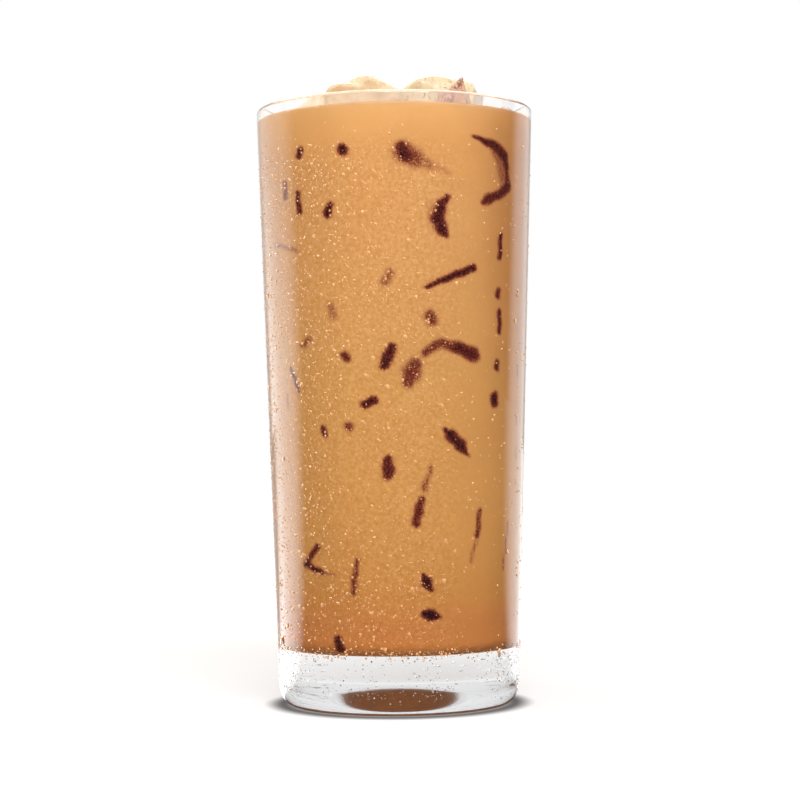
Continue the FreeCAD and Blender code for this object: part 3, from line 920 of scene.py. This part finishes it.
def make_condensation():
    """Mist, beads and larger drops on the outside of the glass, a line of beads where
    the coffee's floor starts, and two drops that have run together there."""
    mist_bead = make_bead("mist_bead", around=6, up=4, squash=0.55)
    bead = make_bead("water_bead", around=8, up=6, squash=0.55)
    drop = make_bead("water_drop", around=14, up=8, squash=0.42)
    count = 420
    line = np.stack([RANDOM.uniform(-180, 180, count), RANDOM.normal(FLOOR + 0.2, 0.7, count)], 1)
    two = np.array([(53.0, 15.5), (-71.0, 18.5)])
    # Name, bead, places, least and greatest radius, and how much taller than wide.
    lots = [
        ("condensation_mist", mist_bead, bead_places(7600, 5, 158, 70), (0.12, 0.25), 1),
        ("condensation_beads", bead, bead_places(2100, 6, 156, 80), (0.21, 0.37), 1.08),
        ("condensation_base_mist", mist_bead, bead_places(1300, 3, BASE_TOP, 60), (0.12, 0.24), 1),
        ("condensation_floor_line", bead, line, (0.16, 0.36), 1),
        ("condensation_drops", drop, bead_places(110, 8, 150, 30), (0.38, 0.6), 1.12),
        ("condensation_large_drops", drop, two, (0.8, 0.9), 1.5),
    ]
    for name, shape, places, (small, large), tall in lots:
        sizes = small + (large - small) * RANDOM.random(len(places)) ** 2
        register(beads_on_wall(name, shape, places, sizes, tall), "glass", WATER)
    for shape in (mist_bead, bead, drop):
        bpy.data.objects.remove(shape)


make_glass()
make_coffee()
make_ice()
make_sunk_ice()
make_condensation()

# ------------------------------ floor, light, camera
WHITE = (1.0, 1.0, 1.0, 1.0)
WARM = (1.0, 0.9, 0.82, 1.0)     # the soft light from all round,
AMBIENT = 0.55           # how bright it is on the left,
AMBIENT_RIGHT = AMBIENT * 0.55   # and on the right
BACKGROUND = 1.0         # white behind the glass
FLOOR_SIZE = 12          # m
FLOOR_GAP = 0.02         # mm below the glass
FLOOR_PAINT = "#b8b8b8"
FLOOR_LIFT = (0.58, 0.84)        # light added to the floor to keep it white, near and far,
LIFT_REACH = (0.05, 0.5)         # and where that is, m from the glass
FOOT_SHADE = (0.0, 6.5, 0.16)    # the painted shadow's reach, mm from the foot's edge, start and end, and its least light
DIM = 0.1                # the room as the glass mirrors it,
OVERHEAD = 5.5           # and the light overhead in it,
OVERHEAD_RISE = (0.4, 0.62)      # which starts and is full at these sines of the way up
# Level with the glass it mirrors a soft wall behind it and a tall soft light left and
# right.  Each is how bright it is at the start and the end of a reach, degrees to the
# left of straight back, and the cosines from there at which it starts and is full.
ON_FLOOR = [(0.65, 0.6, 6, 0.8, 0.95), (4.0, 3.5, 60, 0.86, 0.99), (2.0, 1.8, -41, 0.85, 0.985)]
FLOOR_REACH = (0.3, 2.0)         # m from the glass
IN_ROOM = [(0.6, 0.75, 6, 0.8, 0.95), (3.4, 1.6, 57, 0.82, 0.985), (1.7, 1.5, -42, 0.9, 0.985)]
ROOM_REACH = (0.0, 0.13)         # sines of the way up


def mirrored_room(tree, direction, along, reach, lights):
    """How bright the glass's reflections see the room in a direction; along is the
    measure that the reach is of."""
    lit = []
    for first, last, turned, start, full in lights:
        bright = add_node(
            tree, "MapRange",
            values={"From Min": reach[0], "From Max": reach[1], "To Min": first, "To Max": last},
            links={"Value": along},
        )
        turned = math.radians(turned)
        facing = add_node(
            tree, "VectorMath", {"operation": "DOT_PRODUCT"},
            values={1: (-math.sin(turned), math.cos(turned), 0.0)}, links={0: direction},
        )
        share = add_node(
            tree, "MapRange", SMOOTH_RISE, values={"From Min": start, "From Max": full},
            links={"Value": facing.outputs["Value"]},
        )
        lit.append(add_node(tree, "Math", TIMES, links={0: share, 1: bright}))
    total = add_node(tree, "Math", PLUS, values={1: DIM}, links={0: lit[0]})
    for light in lit[1:]:
        total = add_node(tree, "Math", PLUS, links={0: light, 1: total})
    return total


def rays_before_matt(tree):
    """Of the rays that have met nothing matt yet, those that look straight or through
    the glass, and those that it mirrors."""
    path = add_node(tree, "LightPath")
    straight = add_node(
        tree, "Math", BELOW, values={1: 0.5}, links={0: path.outputs["Diffuse Depth"]},
    )
    seen = add_node(
        tree, "Math", GREATER,
        links={0: path.outputs["Is Camera Ray"], 1: path.outputs["Is Transmission Ray"]},
    )
    return [
        add_node(tree, "Math", TIMES, links={0: ray, 1: straight})
        for ray in (seen, path.outputs["Is Reflection Ray"])
    ]


def make_floor():
    """A plain white floor that keeps the shadow of the glass and has a painted shadow where
    the foot meets it.  The glass's reflections see the room on it instead."""
    floor = start_piece("floor", bpy.ops.mesh.primitive_plane_add, size=FLOOR_SIZE)
    bpy.ops.object.mode_set(mode="EDIT")
    bpy.ops.transform.translate(value=(0, 0, -FLOOR_GAP * MM))
    finish_piece(floor, smooth=False)
    material, tree = new_material("studio_floor_white")
    clear, mirrored = rays_before_matt(tree)
    on_piece = {"Vector": add_node(tree, "TexCoord").outputs["Object"]}
    # Farther from the lamps the floor needs more lift to stay white.
    away = add_node(tree, "VectorMath", {"operation": "LENGTH"}, links=on_piece)
    lift = add_node(
        tree, "MapRange",
        values={
            "From Min": LIFT_REACH[0], "From Max": LIFT_REACH[1],
            "To Min": FLOOR_LIFT[0], "To Max": FLOOR_LIFT[1],
        },
        links={"Value": away.outputs["Value"]},
    )
    # Painted shadow: the floor is darkened in a ring where the foot meets it.
    from_foot = add_node(
        tree, "Math", {"operation": "SUBTRACT"}, values={1: (FOOT_RADIUS - 1) * MM},
        links={0: away.outputs["Value"]},
    )
    beside = add_node(tree, "Math", {"operation": "ABSOLUTE"}, links={0: from_foot})
    painted_foot_shadow = add_node(
        tree, "MapRange", SMOOTH_RISE,
        values={
            "From Min": FOOT_SHADE[0] * MM, "From Max": FOOT_SHADE[1] * MM,
            "To Min": FOOT_SHADE[2],
        },
        links={"Value": beside},
    )
    shade = add_node(
        tree, "Mix", COLOUR_MIX, values={6: hex_colour("#000000"), 7: hex_colour(FLOOR_PAINT)},
        links={0: painted_foot_shadow},
    )
    paint = add_node(tree, "BsdfDiffuse", links={"Color": shade.outputs[2]})
    white = add_node(tree, "Math", TIMES, links={0: lift, 1: painted_foot_shadow})
    lifted = add_node(tree, "Math", TIMES, links={0: white, 1: clear})
    light = add_node(tree, "Emission", values={"Color": WHITE}, links={"Strength": lifted})
    both = add_node(tree, "AddShader", links={0: paint, 1: light})
    heading = add_node(tree, "VectorMath", {"operation": "NORMALIZE"}, links=on_piece)
    room = mirrored_room(tree, heading, away.outputs["Value"], FLOOR_REACH, ON_FLOOR)
    reflected = add_node(tree, "Emission", values={"Color": WHITE}, links={"Strength": room})
    shown = add_node(tree, "MixShader", links={0: mirrored, 1: both, 2: reflected})
    add_node(tree, "OutputMaterial", links={"Surface": shown})
    floor.data.materials.append(material)


def make_world():
    """White behind the glass, soft light all round, and the room that only the
    glass's reflections see."""
    world = bpy.data.worlds.new("studio")
    bpy.context.scene.world = world
    world.use_nodes = True
    tree = world.node_tree
    tree.nodes.clear()
    clear, mirrored = rays_before_matt(tree)
    way = add_node(tree, "TexCoord").outputs["Generated"]
    spread = add_node(tree, "SeparateXYZ", links={0: way})
    overhead = add_node(
        tree, "MapRange",
        values={
            "From Min": OVERHEAD_RISE[0], "From Max": OVERHEAD_RISE[1],
            "To Min": DIM, "To Max": OVERHEAD,
        },
        links={"Value": spread.outputs["Z"]},
    )
    level = mirrored_room(tree, way, spread.outputs["Z"], ROOM_REACH, IN_ROOM)
    room = add_node(tree, "Math", GREATER, links={0: level, 1: overhead})
    # It is softer on the right.
    ambient = add_node(
        tree, "MapRange",
        values={"From Min": 0.1, "From Max": 0.9, "To Min": AMBIENT, "To Max": AMBIENT_RIGHT},
        links={"Value": spread.outputs["X"]},
    )
    base = add_node(
        tree, "Mix", {"data_type": "FLOAT"}, values={3: BACKGROUND}, links={0: clear, 2: ambient},
    )
    strength = add_node(tree, "Mix", {"data_type": "FLOAT"}, links={0: mirrored, 2: base, 3: room})
    plain = add_node(tree, "Math", GREATER, links={0: clear, 1: mirrored})
    tint = add_node(tree, "Mix", COLOUR_MIX, values={6: WARM, 7: WHITE}, links={0: plain})
    sky = add_node(tree, "Background", links={"Color": tint.outputs[2], "Strength": strength})
    add_node(tree, "OutputWorld", links={"Surface": sky})


LAMP_AIM = (0, 0, 0.08)  # m
# Soft square lamps: name, place and size in m, watts and colour.
LAMPS = [
    ("key_front", (0.10, -0.62, 0.62), 0.5, 5.9, (0.94, 0.94, 1.0)),
    ("fill_right", (0.62, -0.10, 0.50), 0.5, 0.6, (1.0, 0.8, 0.6)),
    ("fill_left", (-0.62, -0.10, 0.50), 0.5, 1.2, (1.0, 0.9, 0.78)),
]
CAMERA_PLACE = (0.8, -568.8, 72.2)       # mm
CAMERA_TILT, CAMERA_ROLL = 91.215, 0.54  # degrees from straight down, and leaning
CAMERA_SENSOR, CAMERA_LENS = 36.0, 91.5  # mm


def add_lamps():
    """The lamps, aimed at the middle of the glass."""
    for name, place, size, watts, colour in LAMPS:
        light = bpy.data.lights.new(name, "AREA")
        light.size, light.energy, light.color = size, watts, colour
        lamp = bpy.data.objects.new(name, light)
        bpy.context.scene.collection.objects.link(lamp)
        lamp.location = place
        aim = Vector(LAMP_AIM) - Vector(place)
        lamp.rotation_euler = aim.to_track_quat("-Z", "Y").to_euler()


def make_camera():
    """The camera stands in front, a little below the middle of the glass, looking
    slightly up and leaning by half a degree."""
    data = bpy.data.cameras.new("camera")
    data.sensor_width, data.lens, data.clip_start = CAMERA_SENSOR, CAMERA_LENS, 0.01
    camera = bpy.data.objects.new("camera", data)
    bpy.context.scene.collection.objects.link(camera)
    camera.location = [value * MM for value in CAMERA_PLACE]
    camera.rotation_euler = (math.radians(CAMERA_TILT), math.radians(CAMERA_ROLL), 0)
    bpy.context.scene.camera = camera


make_floor()
make_world()
add_lamps()
make_camera()
bpy.context.scene.view_settings.view_transform = "Standard"
